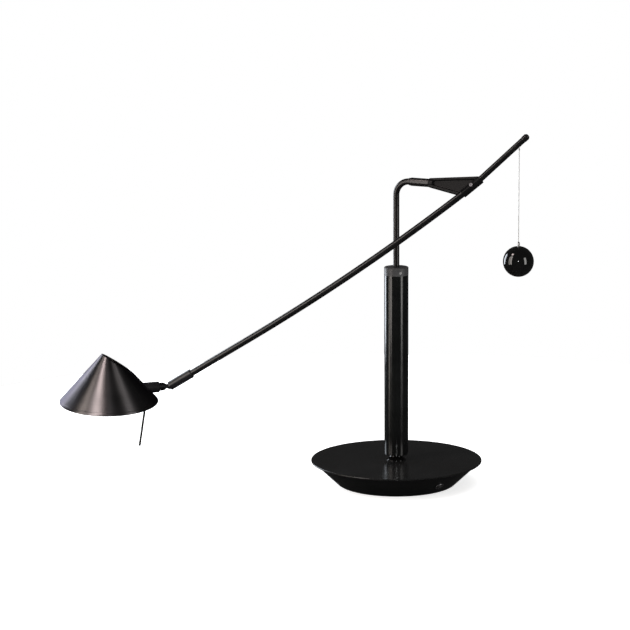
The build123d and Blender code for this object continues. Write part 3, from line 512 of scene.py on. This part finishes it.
ferruleForm = {"low": -147.6, "radius": 2.0, "stem": 1.4, "depth": 3.0, "groove": 0.3, "steps": 32}
wide, cut = ferruleForm["radius"], ferruleForm["groove"]
stem, depth = ferruleForm["stem"], ferruleForm["depth"]
outline = [(0, -depth), (stem, -depth), (stem, 0.9),
           (wide - 0.2, 0.9), (wide, 1.1), (wide, 2.1), (wide - cut, 2.4), (wide - cut, 2.8), (wide, 3.1),
           (wide, 3.8), (wide - cut, 4.1), (wide - cut, 4.5), (wide, 4.8), (wide, 5.6), (wide - 0.3, 6.1),
           (1.1, 6.8), (0.75, 7.0), (0, 7.0)]
ferrule = spun("crimpedFerrule", outline, ferruleForm["steps"])
ferruleAt = wirePoint + Vector((0, 0, ferruleForm["low"] / 1000))
finished(ferrule, Matrix.Translation(ferruleAt), "brightSteel", "weight", ["wire_ferrule"])
print("ball and ferrule made")

# hub between base and column: turned, with a waist, and a cup inside the tube

hubForm = {"base": 35.4, "foot": 14.5, "neck": 9.0, "seat": 43.5, "seatRadius": 17.0, "rim": 44.7,
           "spigot": 16.08, "top": 67.5, "cup": 8.0, "cupFloor": 49.5, "stem": 5.0, "stemLow": 16.4,
           "steps": 72}
z0, seat, rim = hubForm["base"], hubForm["seat"], hubForm["rim"]
footR, neckR, seatR = hubForm["foot"], hubForm["neck"], hubForm["seatRadius"]
stem, stemLow, spigot, top = hubForm["stem"], hubForm["stemLow"], hubForm["spigot"], hubForm["top"]
waist = softened([(footR, z0 + 0.9), (footR - 1.6, z0 + 2.2), (neckR + 0.6, z0 + 4.4), (neckR, seat - 1.4),
                  (neckR + 0.3, seat - 0.4), (neckR + 1.2, seat)])
outline = [(0, stemLow), (stem - 0.5, stemLow), (stem, stemLow + 0.5), (stem, z0), (footR - 0.2, z0),
           (footR, z0 + 0.2)] + waist
outline += [(seatR - 0.3, seat), (seatR, seat + 0.3), (seatR, rim), (spigot, rim), (spigot, top - 0.5),
            (spigot - 0.5, top), (hubForm["cup"], top), (hubForm["cup"], hubForm["cupFloor"]),
            (0, hubForm["cupFloor"])]
hub = spun("turnedHub", outline, hubForm["steps"])
finished(hub, None, "hubGloss", "base", ["column_hub"], smoothAngle=40)
print("hub made")

# front arm tube: drawn straight, bowed, and straight again into the socket

tubeForm = {"radius": 4.75, "wall": 1.0, "slope": 38.35, "gap": 1.2, "clamp": 18.6, "bowRadius": 3215,
            "bowLength": 382, "straightEnd": 110.6, "sides": 40, "bowSteps": 40}
slope = math.radians(tubeForm["slope"])
down = Vector((-math.cos(slope), -math.sin(slope), 0))
side = Vector((-math.sin(slope), math.cos(slope), 0))
bowAngle = tubeForm["bowLength"] / tubeForm["bowRadius"]
bowCentre = (down * tubeForm["clamp"] + side * tubeForm["bowRadius"]) / 1000
startFresh()
bpy.ops.mesh.primitive_circle_add(vertices=tubeForm["sides"], radius=tubeForm["radius"] / 1000)
tube = bpy.context.object
tube.name = "bowedArmTube"
tube.matrix_world = frameOf(down * tubeForm["gap"] / 1000, (0, 0, 1), down)
bpy.ops.object.transform_apply(location=True, rotation=True, scale=True)
bpy.ops.object.mode_set(mode="EDIT")
bpy.ops.mesh.select_mode(type="EDGE")
bpy.ops.mesh.select_all(action="SELECT")
first = down * (tubeForm["clamp"] - tubeForm["gap"]) / 1000
bpy.ops.mesh.extrude_region_move(TRANSFORM_OT_translate={"value": first})
bpy.ops.mesh.spin(steps=tubeForm["bowSteps"], angle=bowAngle, center=bowCentre, axis=(0, 0, 1))
ending = Matrix.Rotation(-bowAngle, 3, "Z") @ down
bpy.ops.mesh.extrude_region_move(TRANSFORM_OT_translate={"value": ending * tubeForm["straightEnd"] / 1000})
bpy.ops.mesh.select_all(action="SELECT")
bpy.ops.mesh.remove_doubles(threshold=mergeWithin)
bpy.ops.mesh.normals_make_consistent(inside=False)
bpy.ops.object.mode_set(mode="OBJECT")
applied(tube, "SOLIDIFY", thickness=tubeForm["wall"] / 1000, offset=-1)
finished(tube, armFrame, "tubePaint", "arm", ["front_arm_tube"])
print("arm tube made:", len(tube.data.polygons), "faces")

# bracket: the casting's edges and inner corners are soft, as sand and paint leave them

castForm = {"voxel": 0.00042, "smooth": 5}
startFresh()
bracket = nodes["fishtail_bracket"].copy()
bracket.data = nodes["fishtail_bracket"].data.copy()
bracket.name = "castBracket"
for key in list(bracket.keys()):
    del bracket[key]
bpy.context.collection.objects.link(bracket)
bracket.parent = None
bracket.select_set(True)
bpy.context.view_layer.objects.active = bracket
bpy.ops.object.mode_set(mode="EDIT")
bpy.ops.mesh.select_all(action="SELECT")
bpy.ops.mesh.remove_doubles(threshold=0.000002)
bpy.ops.object.mode_set(mode="OBJECT")
applied(bracket, "REMESH", mode="VOXEL", voxel_size=castForm["voxel"])
applied(bracket, "SMOOTH", factor=0.5, iterations=castForm["smooth"])
finished(bracket, None, "bracketCast", "arm", ["fishtail_bracket"], smoothAngle=60)
print("bracket cast:", len(bracket.data.polygons), "faces")

# cord gland: a lipped bush with ribs and a soft nose, bored through

glandForm = {"bore": 3.3, "tail": 5.4, "tailLow": -6.0, "lip": 7.5, "nose": 4.2, "length": 6.1,
             "steps": 56}
bore, lipR, noseR, length = glandForm["bore"], glandForm["lip"], glandForm["nose"], glandForm["length"]
tail, tailLow = glandForm["tail"], glandForm["tailLow"]
outline = [(bore, tailLow), (tail - 0.4, tailLow), (tail, tailLow + 0.5), (tail, 0.1), (lipR - 0.2, 0.1),
           (lipR, 0.3), (lipR, 1.3), (lipR - 0.3, 1.9), (lipR - 1.0, 2.1), (5.5, 2.1), (5.4, 2.7),
           (4.9, 2.9), (4.9, 3.3),
           (5.15, 3.5), (5.05, 4.0), (4.55, 4.2), (4.55, 4.6), (4.75, 4.8), (4.6, 5.4), (noseR, 5.9),
           (noseR - 0.3, length), (bore + 0.15, length), (bore, length - 0.15), (bore, tailLow)]
gland = spun("ribbedGland", outline, glandForm["steps"])
glandOut = Vector((0, 0.687506, -0.726178))
glandAt = Vector((0, 0.10297, 0.0166))
finished(gland, frameOf(glandAt, (1, 0, 0), glandOut), "blackPlastic", "base",
         ["cord_gland"])

# push switch: a dished button in a rolled ring

switchOut = -jointAxis("switch_press")
buttonBox = [Vector(c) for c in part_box("switch_button")]
switchForm = {"button": 4.5, "proud": 3.0, "tail": 5.0, "dish": 0.5, "ringInside": 4.6, "ringOutside": 6.5,
              "ringThick": 1.4, "sleeve": 5.1, "sleeveDeep": 7.0, "middleBelow": 1.3, "steps": 56}
switchAt = (buttonBox[0] + buttonBox[1]) / 2 + switchOut * switchForm["middleBelow"] / 1000
switchFrame = frameOf(switchAt, (0, 0, 1), switchOut)
r, proud = switchForm["button"], switchForm["proud"]
button = spun("dishedButton", [(0, -switchForm["tail"]), (r, -switchForm["tail"]), (r, proud - 0.8)]
              + arcOf((r - 0.8, proud - 0.8), 0.8, 0, 90, 6)[1:]
              + [(r - 1.4, proud - 0.06), (r * 0.5, proud - switchForm["dish"] * 0.8),
                 (0, proud - switchForm["dish"])], switchForm["steps"])
finished(button, switchFrame, "blackPlastic", "switch", ["switch_button"])
inR, outR, thick = switchForm["ringInside"], switchForm["ringOutside"], switchForm["ringThick"]
sleeve, deep = switchForm["sleeve"], switchForm["sleeveDeep"]
ring = spun("rolledRing", [(inR, -deep), (sleeve, -deep), (sleeve, 0), (outR - 0.1, 0), (outR, 0.15)]
            + arcOf((outR - 0.7, 0.7), 0.7, 0, 90, 6)
            + arcOf((inR + 0.55, thick - 0.55), 0.55, 90, 180, 5)
            + [(inR, -deep)], switchForm["steps"])
finished(ring, switchFrame, "ringSteel", "base", ["switch_bezel"])

# felt disc under the foot: pressed felt with a soft edge

feltForm = {"radius": 85.0, "thick": 1.2, "edge": 0.45, "innerRing": 12, "steps": 160}
r, thick, soft = feltForm["radius"], feltForm["thick"], feltForm["edge"]
flat = r - feltForm["innerRing"]
felt = spun("feltFoot", [(0, 0), (flat, 0)] + arcOf((r - soft, soft), soft, -90, 0, 4)
            + arcOf((r - soft, thick - soft), soft, 0, 90, 4) + [(flat, thick), (0, thick)],
            feltForm["steps"])
finished(felt, None, "felt", "base", ["foot_pad"])
print("gland, switch and felt made")


# floor, background and lamps

def stageMaterial(name, lit, glow):
    # a pale surface that also glows towards the camera, so that it clears to white with a faint shadow
    material = bpy.data.materials.new(name)
    material.use_nodes = True
    tree = material.node_tree
    tree.nodes.clear()
    diffuse = tree.nodes.new("ShaderNodeBsdfDiffuse")
    diffuse.inputs["Color"].default_value = (lit, lit, lit, 1)
    emission = tree.nodes.new("ShaderNodeEmission")
    rays = seenDirectly(tree)
    strength = tree.nodes.new("ShaderNodeMath")
    strength.operation = "MULTIPLY"
    strength.inputs[1].default_value = glow
    tree.links.new(rays, strength.inputs[0])
    tree.links.new(strength.outputs["Value"], emission.inputs["Strength"])
    both = tree.nodes.new("ShaderNodeAddShader")
    tree.links.new(diffuse.outputs["BSDF"], both.inputs[0])
    tree.links.new(emission.outputs["Emission"], both.inputs[1])
    output = tree.nodes.new("ShaderNodeOutputMaterial")
    tree.links.new(both.outputs["Shader"], output.inputs["Surface"])
    return material


def seenDirectly(tree):
    # 1 for what the camera sees, also in metal and through glass
    path = tree.nodes.new("ShaderNodeLightPath")
    total = path.outputs["Is Camera Ray"]
    for other in ("Is Glossy Ray", "Is Transmission Ray"):
        add = tree.nodes.new("ShaderNodeMath")
        add.operation = "ADD"
        add.use_clamp = True
        tree.links.new(total, add.inputs[0])
        tree.links.new(path.outputs[other], add.inputs[1])
        total = add.outputs["Value"]
    return total


floorSize = {"radius": 0.95, "glow": 0.62, "albedo": 0.85}
bpy.ops.mesh.primitive_circle_add(vertices=128, radius=floorSize["radius"], fill_type="NGON")
floor = bpy.context.object
floor.name = "floor"
floor.data.materials.append(stageMaterial("paleFloor", floorSize["albedo"], floorSize["glow"]))
# gloss looks through the pale floor to the dark disc and round below it: a painted dark floor in the
# reflections
floor.visible_glossy = False

world = bpy.data.worlds.new("paleRoom")
bpy.context.scene.world = world
world.use_nodes = True
tree = world.node_tree
tree.nodes.clear()
roomLight = {"ambient": 0.55, "background": 1.0}
strength = tree.nodes.new("ShaderNodeMapRange")
strength.inputs["To Min"].default_value = roomLight["ambient"]
strength.inputs["To Max"].default_value = roomLight["background"]
tree.links.new(seenDirectly(tree), strength.inputs["Value"])
background = tree.nodes.new("ShaderNodeBackground")
background.inputs["Color"].default_value = (1, 1, 1, 1)
tree.links.new(strength.outputs["Result"], background.inputs["Strength"])
output = tree.nodes.new("ShaderNodeOutputWorld")
tree.links.new(background.outputs["Background"], output.inputs["Surface"])

# dark surround round and under the set, which only gloss sees: its faint glow is a painted reflection of a
# dark room, and the disc under the set is a painted dark floor in the reflections, though the camera sees the
# floor pale
darkReflectionForm = {"radius": 6.0, "tone": 0.035, "underRadius": 0.3, "underHeight": 0.0004}
darkReflectionMaterial = bpy.data.materials.new("paintedDarkReflection")
darkReflectionMaterial.use_nodes = True
darkReflectionTree = darkReflectionMaterial.node_tree
darkReflectionTree.nodes.clear()
darkReflectionGlow = darkReflectionTree.nodes.new("ShaderNodeEmission")
# this glow is painted reflection: the dim light the gloss shows, sent by no lamp
darkReflectionGlow.inputs["Strength"].default_value = darkReflectionForm["tone"]
darkReflectionOutput = darkReflectionTree.nodes.new("ShaderNodeOutputMaterial")
darkReflectionTree.links.new(darkReflectionGlow.outputs["Emission"], darkReflectionOutput.inputs["Surface"])
startFresh()
bpy.ops.mesh.primitive_uv_sphere_add(segments=48, ring_count=24, radius=darkReflectionForm["radius"])
around = bpy.context.object
around.name = "paintedDarkRoom"
startFresh()
bpy.ops.mesh.primitive_circle_add(vertices=96, radius=darkReflectionForm["underRadius"], fill_type="NGON",
                                  location=(0, 0, darkReflectionForm["underHeight"]))
under = bpy.context.object
under.name = "paintedDarkFloor"
for glossOnlyPiece in (around, under):
    glossOnlyPiece.data.materials.append(darkReflectionMaterial)
    glossOnlyPiece.visible_camera = False
    glossOnlyPiece.visible_diffuse = False
    glossOnlyPiece.visible_transmission = False
    glossOnlyPiece.visible_shadow = False

softboxes = {
    # name: place, width, height, power, colour, seen in gloss
    "leftBox": ((-0.75, -0.56, 0.53), 0.25, 1.1, 5.4, (1.0, 0.92, 0.87), True),
    "beigeBox": ((-1.30, -0.41, 0.50), 0.22, 1.4, 5.0, (1.0, 0.92, 0.82), True),
    "rearLeftBox": ((-0.894, 0.676, 0.42), 0.50, 0.9, 12, (0.86, 0.92, 1.0), True),
    "rightBox": ((2.01, -1.61, 0.68), 0.7, 2.0, 26, (1.0, 0.98, 0.95), True),
    "warmSpot": ((-0.80, -0.35, 1.55), 0.34, 0.34, 5.5, (1.0, 0.84, 0.80), True),
    "topBox": ((0.3, -0.4, 2.4), 1.6, 1.6, 13, (1.0, 1.0, 1.0), False),
    "smallFlash": ((0.0, -3.6, 1.0), 0.2, 0.2, 12, (1.0, 1.0, 1.0), True),
}
aim = Vector((-0.1, -0.02, 0.25))
for name, (place, width, height, power, colour, gloss) in softboxes.items():
    bpy.ops.object.light_add(type="AREA", location=place)
    lamp = bpy.context.object
    lamp.name = name
    lamp.data.shape = "RECTANGLE"
    lamp.data.size = width
    lamp.data.size_y = height
    lamp.data.energy = power
    lamp.data.color = colour
    lamp.visible_camera = False
    lamp.visible_glossy = gloss
    lamp.rotation_euler = (Vector(place) - aim).to_track_quat("Z", "Y").to_euler()
print("lamps placed:", len(softboxes))

photoCamera = {"place": (-0.11809, -3.970, 0.99228), "pitchDown": 10.578, "roll": 0.32,
               "focalPixels": 2780, "photoPixels": 630}
bpy.ops.object.camera_add(location=photoCamera["place"])
camera = bpy.context.object
camera.name = "photoCamera"
camera.data.lens = photoCamera["focalPixels"] / photoCamera["photoPixels"] * camera.data.sensor_width
camera.data.clip_end = 100
level = Matrix.Rotation(math.radians(90 - photoCamera["pitchDown"]), 4, "X")
camera.rotation_euler = (level @ Matrix.Rotation(math.radians(-photoCamera["roll"]), 4, "Z")).to_euler()
bpy.context.scene.camera = camera
bpy.context.scene.view_settings.view_transform = "Standard"
